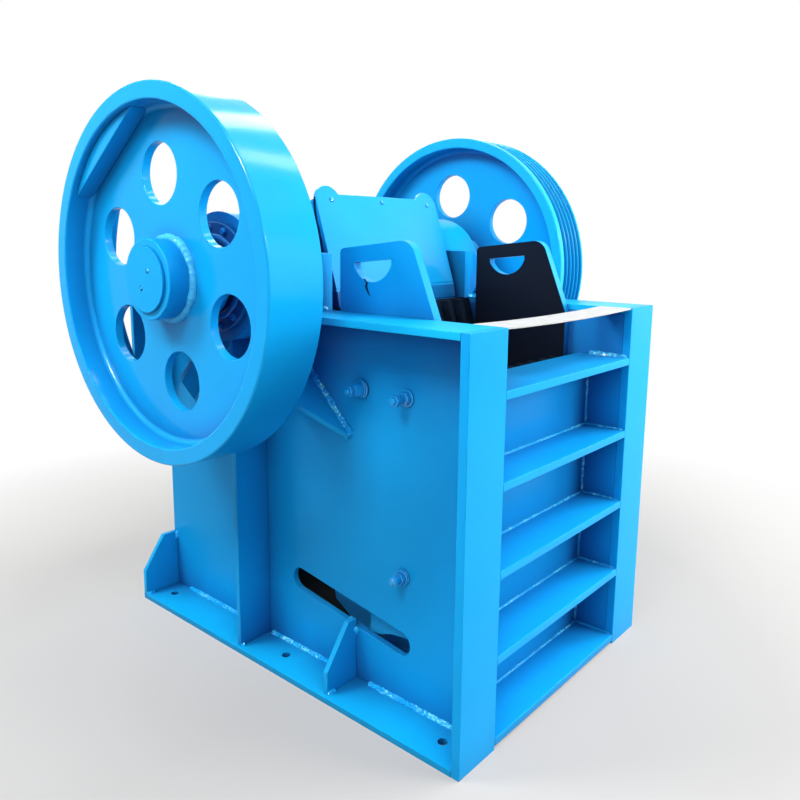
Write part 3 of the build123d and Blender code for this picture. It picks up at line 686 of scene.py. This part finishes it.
front_welds = ([], [])
for shelf in range(SHELVES):
    shelf_low = LOWEST_SHELF + shelf * SHELF_PITCH
    shelf_top = shelf_low + SHELF
    is_highest = shelf == SHELVES - 1
    if is_highest:
        weld_shelf_face(front_welds, shelf_top, UP, None, TOP_SHELF_BEAD)
    else:
        weld_shelf_face(front_welds, shelf_top, UP, WALL_BEAD, SHELF_BEAD)
    if shelf > 0:
        weld_shelf_face(front_welds, shelf_low, -UP, WALL_BEAD, SHELF_BEAD)
    if not is_highest:
        for _, side_sign in SIDES:
            foot = Vector((WALL_FRONT, side_sign * WALL, shelf_top + CORNER_GAP))
            head = foot + UP * (SHELF_PITCH - SHELF - 2 * CORNER_GAP)
            add_run(front_welds, foot, head, ALONG_X, outward(-side_sign), CORNER_BEAD)
make_piece("front_welds", front_welds, seam_blue, "frame")


# Wheels: hollow fillets at the rim, and a bead round the boss in a pale blue, a painted highlight

WEB_OUT = -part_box("flywheel_web")[0].y
WEB_IN = -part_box("flywheel_web")[1].y
RIM_BORE = (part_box("flywheel_web")[1].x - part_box("flywheel_web")[0].x) / 2
BOSS_RADIUS = (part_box("flywheel_boss")[1].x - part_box("flywheel_boss")[0].x) / 2
BOSS_BEAD = Bead(0.012)
RIM_FILLET = 0.013
RIM_STEPS = 128
FILLET_STEPS = 6
FILLET_ROOT = 0.0005


def add_boss_bead(shape, y, sign):
    """A weld bead round the boss, on a face of the web that looks to one side."""
    away = [spoke(angle) for angle in circle(round(2 * math.pi * BOSS_RADIUS / BOSS_BEAD.step))]
    path = [hub(y) + direction * BOSS_RADIUS for direction in away]
    add_bead(shape, path, away, outward(sign), BOSS_BEAD, closed=True)


def add_rim_fillet(shape, y, sign):
    """A smooth hollow fillet in the corner of the rim's bore and a face of the web."""
    out = outward(sign)
    bends = [math.pi / 2 * step / FILLET_STEPS for step in range(FILLET_STEPS + 1)]
    rings = []
    for angle in circle(RIM_STEPS):
        direction = spoke(angle)
        corner = hub(y) + direction * RIM_BORE
        centre = corner - direction * RIM_FILLET + out * RIM_FILLET
        ring = [centre + (direction * math.cos(bend) - out * math.sin(bend)) * RIM_FILLET for bend in bends]
        ring.append(corner + direction * FILLET_ROOT - out * FILLET_ROOT)
        rings.append(ring)
    add_rings(shape, rings, closed=True)


for side_name, side_sign in SIDES:
    fillets = ([], [])
    boss_weld = ([], [])
    for web_y, facing_sign in ((side_sign * WEB_OUT, side_sign), (side_sign * WEB_IN, -side_sign)):
        add_rim_fillet(fillets, web_y, facing_sign)
        add_boss_bead(boss_weld, web_y, facing_sign)
    make_piece(side_name + "_fillets", fillets, wheel_blue, "rotor")
    make_piece(side_name + "_boss_weld", boss_weld, boss_highlight_blue, "rotor")


# Long bolts on the side plates. A profile lists the sides, start, end, and first and last radius of each
# piece along the bolt

TAPERED_BOLT = (
    (40, 0.003, 0.008, 0.0255, 0.0255),
    (40, 0.008, 0.012, 0.0215, 0.0215),
    (40, 0.012, 0.040, 0.0190, 0.0155),
    (6, 0.040, 0.053, 0.0150, 0.0150),
    (24, 0.053, 0.060, 0.0080, 0.0070),
)
NECKED_BOLT = (
    (40, 0.002, 0.006, 0.0230, 0.0230),
    (6, 0.006, 0.018, 0.0180, 0.0180),
    (32, 0.018, 0.040, 0.0098, 0.0098),
    (6, 0.038, 0.052, 0.0155, 0.0155),
    (24, 0.052, 0.060, 0.0098, 0.0088),
)
DOUBLE_BOLT = (
    (40, 0.001, 0.005, 0.0205, 0.0205),
    (40, 0.005, 0.007, 0.0150, 0.0150),
    (40, 0.007, 0.011, 0.0205, 0.0205),
    (6, 0.011, 0.023, 0.0170, 0.0170),
    (32, 0.023, 0.036, 0.0115, 0.0115),
    (32, 0.034, 0.044, 0.0130, 0.0122),
    (24, 0.044, 0.047, 0.0085, 0.0070),
)
SIDE_BOLTS = ((0.242, 0.845, TAPERED_BOLT), (0.396, 0.843, NECKED_BOLT), (0.391, 0.370, DOUBLE_BOLT))
BOLT_CHAMFER = 0.0012
BOLT_TURN = 0.3


def add_side_bolt(shape, x, z, sign, profile):
    """One long bolt, each of its pieces with chamfered ends."""
    base = Vector((x, sign * OUTER, z))
    for sides, start, end, first, last in profile:
        edge = min(BOLT_CHAMFER, (end - start) / 3)
        rings = [(start, first - edge), (start + edge, first), (end - edge, last), (end, last - edge)]
        add_turned(shape, rings, base, outward(sign), sides, BOLT_TURN)


# Bolts and a raised ring on the bearing covers

COVER_FACE = -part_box("flywheel_side_bearing_cover")[0].y
COVER_BOLTS = 12
COVER_BOLT_START = 98
COVER_BOLT_RADIUS = 0.131
COVER_WASHER = ((0.0, 0.0115), (0.002, 0.0115), (0.0022, 0.0100))
COVER_HEAD = ((0.0022, 0.0092), (0.0075, 0.0092), (0.0088, 0.0078))
COVER_RING_RADIUS = 0.107
COVER_RING_HALF = 0.010
COVER_RING_HEIGHT = 0.006
COVER_RING_STEPS = 96
COVER_BEND_STEPS = 8


def add_cover_ring(shape, sign):
    """A rounded ring that stands out from the bearing cover."""
    bends = [math.pi * step / COVER_BEND_STEPS for step in range(COVER_BEND_STEPS + 1)]
    rings = []
    for angle in circle(COVER_RING_STEPS):
        direction = spoke(angle)
        centre = hub(sign * COVER_FACE) + direction * COVER_RING_RADIUS
        rings.append([centre + direction * (COVER_RING_HALF * math.cos(bend))
                      + outward(sign) * (COVER_RING_HEIGHT * math.sin(bend)) for bend in bends])
    add_rings(shape, rings, closed=True)


for side_name, side_sign in SIDES:
    bolts = ([], [])
    for bolt_x, bolt_z, bolt_profile in SIDE_BOLTS:
        add_side_bolt(bolts, bolt_x, bolt_z, side_sign, bolt_profile)
    make_piece(side_name + "_side_bolts", bolts, bolt_blue, "frame")
    heads = ([], [])
    for number in range(COVER_BOLTS):
        bolt_angle = math.radians(COVER_BOLT_START - 360 / COVER_BOLTS * number)
        spot = hub(side_sign * COVER_FACE) + spoke(bolt_angle) * COVER_BOLT_RADIUS
        add_turned(heads, COVER_WASHER, spot, outward(side_sign), ROUND)
        add_turned(heads, COVER_HEAD, spot, outward(side_sign), HEXAGON, bolt_angle)
    add_cover_ring(heads, side_sign)
    make_piece(side_name + "_side_cover_bolts", heads, bolt_blue, "frame")


# Guard cover: round heads near its top, and the painted seam between its lower edge and the wedge bar

COVER_ORIGIN = Vector((0.0730, 0, 1.090))
COVER_LEAN = math.radians(18)
COVER_UP = Vector((-math.sin(COVER_LEAN), 0, math.cos(COVER_LEAN)))
COVER_OUT = Vector((math.cos(COVER_LEAN), 0, math.sin(COVER_LEAN)))
HALF_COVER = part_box("jaw_cover")[1].y
BUTTONS = ((-0.209, 0.260), (0.003, 0.260), (0.221, 0.259))
BUTTON = ((0.0, 0.0070), (0.002, 0.0068), (0.004, 0.0052), (0.005, 0.0025))
SEAM_DROP = 0.0035
SEAM_INSET = 0.003
SEAM_SECTION = ((-0.010, 0.004), (0.0022, 0.0045), (0.0030, 0.0), (0.0042, -0.0025), (-0.010, -0.0025))
SEAM_STEPS = 24

buttons = ([], [])
for button_y, button_up in BUTTONS:
    spot = COVER_ORIGIN + COVER_UP * button_up + Vector((0, button_y, 0))
    add_turned(buttons, BUTTON, spot, COVER_OUT, ROUND)
make_piece("cover_buttons", buttons, bolt_blue, "jaw")

seam = ([], [])
seam_start = COVER_ORIGIN - COVER_OUT * SEAM_INSET + Vector((0, -HALF_COVER, -SEAM_DROP))
add_rings(seam, [
    [seam_start + Vector((x, 2 * HALF_COVER * step / SEAM_STEPS, z)) for x, z in SEAM_SECTION]
    for step in range(SEAM_STEPS + 1)])
make_piece("cover_seam", seam, cover_blue, "jaw")


# Dark sheet along the guard cover's sides, which paints the shade in a ragged slit: how far up the cover
# each point lies, and how far back from its face the slit's two edges are there

SLIT = (
    (0.268, 0.004, 0.006), (0.252, 0.003, 0.014), (0.236, 0.008, 0.016), (0.212, 0.011, 0.021),
    (0.196, 0.013, 0.020), (0.183, 0.011, 0.026), (0.160, 0.013, 0.024), (0.146, 0.012, 0.031),
    (0.124, 0.015, 0.029), (0.104, 0.014, 0.036), (0.080, 0.016, 0.034), (0.058, 0.014, 0.040),
    (0.040, 0.016, 0.043),
)
SLIT_FACES = (0.0004, -0.002)

slits = ([], [])
slit_edge = [(up, near) for up, near, _ in SLIT] + [(up, far) for up, _, far in reversed(SLIT)]
slit_outline = [COVER_ORIGIN + COVER_UP * up - COVER_OUT * back for up, back in slit_edge]
for _, side_sign in SIDES:
    slit_faces = [outward(side_sign) * (HALF_COVER + proud) for proud in SLIT_FACES]
    add_rings(slits, [[point + face for point in slit_outline] for face in slit_faces])
make_piece("cover_slits", slits, slit_dark, "jaw", smooth=False)


# Dark mark under the near cheek plate's hand hole: x, z and half its width there

DARK_MARK = (
    (0.2290, 1.1290, 0.0016), (0.2400, 1.1185, 0.0036), (0.2370, 1.1080, 0.0040), (0.2450, 1.0930, 0.0030),
    (0.2500, 1.0850, 0.0008),
)
CHEEK_OUT = -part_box("flywheel_side_cheek_plate")[0].y
DARK_MARK_FACES = (CHEEK_OUT + 0.0003, CHEEK_OUT - 0.002)

dark_mark = ([], [])
dark_mark_outline = [(x - half, z) for x, z, half in DARK_MARK] + [(x + half, z) for x, z, half in reversed(DARK_MARK)]
add_plate(dark_mark, dark_mark_outline, -1, DARK_MARK_FACES)
make_piece("cheek_dark_mark", dark_mark, slit_dark, "frame", smooth=False)


# Plates at the sides of the jaw's toe, seen through the long slots, in brighter blues without corner shade,
# which is painted light: their outlines in x and z, and how far from the machine's middle their faces lie

JAW_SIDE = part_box("swing_jaw")[1].y
TOE_REAR = (
    (0.043, 0.187), (0.049, 0.160), (0.082, 0.140), (0.108, 0.125), (0.140, 0.100), (0.205, 0.112),
    (0.205, 0.240), (0.075, 0.240),
)
TOE_FRONT = ((0.240, 0.145), (0.280, 0.151), (0.315, 0.165), (0.382, 0.174), (0.382, 0.270), (0.240, 0.270))
TOE_LOW = (
    (0.223, 0.130), (0.223, 0.105), (0.235, 0.094), (0.260, 0.083), (0.300, 0.063), (0.345, 0.063),
    (0.345, 0.170),
)
TOE_FACE = 0.306
TOE_REAR_FACES = (JAW_SIDE - 0.008, JAW_SIDE - 0.018)
TOE_FRONT_FACES = (TOE_FACE, JAW_SIDE)
TOE_LOW_FACES = (JAW_SIDE - 0.018, JAW_SIDE - 0.026)
TOE_BOLT_X = 0.272
TOE_BOLT_Z = 0.198
TOE_BOLT = ((-0.002, 0.0065), (0.004, 0.0065), (0.006, 0.0040))

toe_rear = ([], [])
toe_front = ([], [])
toe_low = ([], [])
for _, side_sign in SIDES:
    add_plate(toe_rear, TOE_REAR, side_sign, TOE_REAR_FACES)
    add_plate(toe_front, TOE_FRONT, side_sign, TOE_FRONT_FACES)
    toe_bolt = Vector((TOE_BOLT_X, side_sign * TOE_FACE, TOE_BOLT_Z))
    add_turned(toe_front, TOE_BOLT, toe_bolt, outward(side_sign), HEXAGON)
    add_plate(toe_low, TOE_LOW, side_sign, TOE_LOW_FACES)
make_piece("toe_plates_rear", toe_rear, toe_lit_blue, "jaw")
make_piece("toe_plates_front", toe_front, toe_front_lit_blue, "jaw")
make_piece("toe_plates_low", toe_low, toe_low_lit_blue, "jaw")


# Ends of the two small bolts in each disc on the shaft's ends, each off the middle of its socket: the bolt
# ends carry painted glints, and the socket floors are dark, a painted shadow

DISC_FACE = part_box("shaft_end_discs")[1].y
SOCKET_DEPTH = 0.0078
END_BOLT_PITCH = 0.028
END_BOLT_ANGLE = math.radians(53)
END_SOCKET = ((0.0, 0.0068), (0.0012, 0.0068))
END_BOLT = ((0.0012, 0.0048), (0.0062, 0.0048), (0.0074, 0.0036))
END_BOLT_SHIFT = Vector((-0.0012, 0, 0.0016))

for side_name, side_sign in SIDES:
    ends = ([], [])
    sockets = ([], [])
    for way in (-1, 1):
        spot = hub(side_sign * (DISC_FACE - SOCKET_DEPTH)) + spoke(END_BOLT_ANGLE) * END_BOLT_PITCH * way
        add_turned(sockets, END_SOCKET, spot, outward(side_sign), ROUND)
        add_turned(ends, END_BOLT, spot + END_BOLT_SHIFT, outward(side_sign), ROUND)
    make_piece(side_name + "_end_sockets", sockets, socket_shadow_blue, "rotor")
    make_piece(side_name + "_end_bolts", ends, bead_blue, "rotor")


# Coil spring in place of the plain tube

COIL_RADIUS = 0.039
WIRE_RADIUS = 0.0088
COIL_TURNS = 6
STEPS_PER_TURN = 40
WIRE_SIDES = 12
FLAT_TURNS = 0.9


def make_coil(low, high):
    """A coil along X, from one corner of its box to the other, with its end turns lying flat."""
    z = (low.z + high.z) / 2
    first = low.x + WIRE_RADIUS
    last = high.x - WIRE_RADIUS
    steps = STEPS_PER_TURN * COIL_TURNS
    flat = FLAT_TURNS / COIL_TURNS
    rings = []
    for number in range(steps + 1):
        part = number / steps
        risen = min(1.0, max(0.0, (part - flat) / (1 - 2 * flat)))
        angle = 2 * math.pi * COIL_TURNS * part
        direction = Vector((0, math.cos(angle), math.sin(angle)))
        centre = Vector((first + (last - first) * risen, 0, z)) + direction * COIL_RADIUS
        rings.append([centre + (direction * math.cos(bend) + ALONG_X * math.sin(bend)) * WIRE_RADIUS
                      for bend in circle(WIRE_SIDES)])
    shape = ([], [])
    add_rings(shape, rings)
    return shape


spring = make_piece("tension_coil", make_coil(*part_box("tension_spring")), blue_paint, "frame")
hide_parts("tension_spring")


# Stage: pale floor that fades to white, and white surroundings

FLOOR_REACH = 30.0
FLOOR_WARM = (0.405, 0.395, 0.380)
FLOOR_COOL = (0.415, 0.405, 0.390)
LIT_REAR_FLOOR = (0.56, 0.55, 0.53)
FLOOR_SHADOW = (0.10, 0.10, 0.10)

# Where the floor turns paler towards the rear, which is painted light, where the machine's footprint ends,
# inside which the floor is dark, a painted shadow, and how far away the floor starts to fade and is white
REARWARD = (0.1, -0.7)
FOOTPRINT_SIDE = (0.45, 0.46)
FOOTPRINT_END = (0.65, 0.66)
FADE_START = 1.2
FADE_END = 2.5
FADE_LEAST = 0.3
DARK_BOUNCE = 0.25


def outside_of_machine(tree, spot):
    """1 on the floor round the machine and 0 on the floor under it."""
    past_side = remap(tree, math_node(tree, "ABSOLUTE", spot["Y"]), *FOOTPRINT_SIDE)
    past_end = remap(tree, math_node(tree, "ABSOLUTE", spot["X"]), *FOOTPRINT_END)
    return math_node(tree, "MAXIMUM", past_side, past_end)


def see_directly(tree, rays):
    """1 for rays from the camera and from gloss, which show the background as it is."""
    return math_node(tree, "MAXIMUM", rays["Is Camera Ray"], rays["Is Glossy Ray"])


def paint_floor():
    material, tree, shader, coords = start_material("floor")
    place = coords.outputs["Object"]
    spot = separate(tree, place)
    outside = outside_of_machine(tree, spot)
    tone = blend_colours(tree, noise(tree, place, scale=2.0), FLOOR_WARM, FLOOR_COOL)
    # Painted light on the floor towards the rear, and a painted shadow on the floor under the machine
    tone = blend_colours(tree, remap(tree, spot["X"], *REARWARD), tone, LIT_REAR_FLOOR)
    link(tree, blend_colours(tree, outside, FLOOR_SHADOW, tone), shader.inputs["Base Color"])
    set_inputs(shader, {"Roughness": 0.8, "Specular IOR Level": 0.1})

    # The floor glows white for the camera, more so the farther away it is
    rays = add(tree, "ShaderNodeLightPath").outputs
    away = add(tree, "ShaderNodeVectorMath", operation="LENGTH")
    link(tree, place, away.inputs[0])
    level = remap(tree, away.outputs["Value"], FADE_START, FADE_END, FADE_LEAST, 1.0)
    fade = math_node(tree, "MULTIPLY", math_node(tree, "MULTIPLY", level, outside), see_directly(tree, rays))
    glow = add(tree, "ShaderNodeEmission", {"Color": (1, 1, 1, 1), "Strength": 1.0})
    seen = mix_shaders(tree, fade, shader.outputs[0], glow.outputs[0])

    # It throws a little less light back at the machine
    dark = add(tree, "ShaderNodeBsdfDiffuse", {"Color": (0, 0, 0, 1)})
    less = math_node(tree, "MULTIPLY", rays["Is Diffuse Ray"], DARK_BOUNCE)
    surface = mix_shaders(tree, less, seen, dark.outputs[0])
    link(tree, surface, tree.nodes["Material Output"].inputs["Surface"])
    return material


def make_floor():
    reach = FLOOR_REACH
    mesh = bpy.data.meshes.new("floor")
    corners = [(-reach, -reach, 0), (reach, -reach, 0), (reach, reach, 0), (-reach, reach, 0)]
    mesh.from_pydata(corners, [], [(0, 1, 2, 3)])
    mesh.materials.append(paint_floor())
    floor = bpy.data.objects.new("floor", mesh)
    bpy.context.scene.collection.objects.link(floor)


def make_world():
    world = bpy.data.worlds.new("surroundings")
    bpy.context.scene.world = world
    world.use_nodes = True
    tree = world.node_tree
    tree.nodes.clear()
    lit = add(tree, "ShaderNodeBackground", {"Color": (0.96, 0.98, 1.0, 1.0), "Strength": 0.05})
    seen = add(tree, "ShaderNodeBackground", {"Color": (1.0, 1.0, 1.0, 1.0), "Strength": 1.0})
    rays = add(tree, "ShaderNodeLightPath").outputs
    surface = mix_shaders(tree, see_directly(tree, rays), lit.outputs[0], seen.outputs[0])
    link(tree, surface, add(tree, "ShaderNodeOutputWorld").inputs["Surface"])


# Lights. Soft ones have an azimuth and elevation in degrees, a power in watts and a width. Strips have a
# place, what they aim at, a width and length, and a power

SOFT_AIM = Vector((0, 0, 0.6))
SOFT_DISTANCE = 4.0
SOFT_LIGHTS = (
    (-122, 45, 108, 1.3),
    (-75, 45, 50, 1.0),
    (-60, 15, 28, 2.0),
    (-45, 45, 27, 2.0),
    (25, 50, 90, 2.0),
    (25, 15, 76, 2.0),
    (60, 15, 140, 2.0),
)
STRIP_LIGHTS = (
    ("strip_rear", (-2.99, 1.76, 2.86), (0, -0.60, 1.58), 0.7, 2.2, 30),
    ("strip_top", (-0.93, 1.77, 4.47), (0.15, -0.63, 1.49), 0.75, 2.2, 70),
    ("strip_front", (0.85, 1.88, 4.45), (0.23, -0.64, 1.40), 0.5, 2.2, 50),
    ("glint_side", (-0.5, -3.4, 2.9), (0, -0.4, 0.7), 0.45, 0.45, 240),
    ("glint_front", (3.6, 1.0, 2.6), (0.6, 0, 0.6), 0.45, 0.45, 160),
)


def place_light(data, place, aim):
    light = bpy.data.objects.new(data.name, data)
    light.location = place
    light.rotation_euler = (Vector(aim) - Vector(place)).to_track_quat("-Z", "Y").to_euler()
    bpy.context.scene.collection.objects.link(light)
    return light


def make_soft_light(azimuth, elevation, power, size):
    """A large round light that gives no reflection of its own."""
    data = bpy.data.lights.new(f"soft_{azimuth}_{elevation}", "AREA")
    data.shape = "DISK"
    data.size = size
    data.energy = power
    turn = math.radians(azimuth)
    rise = math.radians(elevation)
    way = Vector((math.cos(rise) * math.cos(turn), math.cos(rise) * math.sin(turn), math.sin(rise)))
    place_light(data, SOFT_AIM + way * SOFT_DISTANCE, SOFT_AIM).visible_glossy = False


def make_strip_light(name, place, aim, width, length, power):
    """A light that only shows as a reflection: the bands on the wheels' rims and the glints on the beads."""
    data = bpy.data.lights.new(name, "AREA")
    data.shape = "RECTANGLE"
    data.size = width
    data.size_y = length
    data.energy = power
    light = place_light(data, place, aim)
    light.visible_diffuse = False
    light.visible_camera = False


# Camera fitted to the photo: metres, radians, and shifts in frame widths

CAMERA_PLACE = Vector((1.5630, -1.7308, 1.2375))
CAMERA_YAW = 2.2821
CAMERA_PITCH = -0.1698
CAMERA_ROLL = -0.0093
SENSOR_MM = 36.0
LENS_MM = 33.711
CAMERA_SHIFT_X = 0.0011
CAMERA_SHIFT_Y = -0.0444


def make_camera():
    level = math.cos(CAMERA_PITCH)
    ahead = Vector((level * math.cos(CAMERA_YAW), level * math.sin(CAMERA_YAW), math.sin(CAMERA_PITCH)))
    right = ahead.cross(UP).normalized()
    down = ahead.cross(right)
    turned_right = right * math.cos(CAMERA_ROLL) + down * math.sin(CAMERA_ROLL)
    turned_down = down * math.cos(CAMERA_ROLL) - right * math.sin(CAMERA_ROLL)
    data = bpy.data.cameras.new("camera")
    data.sensor_width = SENSOR_MM
    data.lens = LENS_MM
    data.shift_x = CAMERA_SHIFT_X
    data.shift_y = CAMERA_SHIFT_Y
    camera = bpy.data.objects.new("camera", data)
    turn = Matrix((turned_right, -turned_down, -ahead)).transposed()
    camera.matrix_world = Matrix.Translation(CAMERA_PLACE) @ turn.to_4x4()
    bpy.context.scene.collection.objects.link(camera)
    bpy.context.scene.camera = camera


make_floor()
make_world()
for soft_light in SOFT_LIGHTS:
    make_soft_light(*soft_light)
for strip_light in STRIP_LIGHTS:
    make_strip_light(*strip_light)
make_camera()
bpy.context.scene.view_settings.view_transform = "Standard"
bpy.context.scene.view_settings.look = "None"
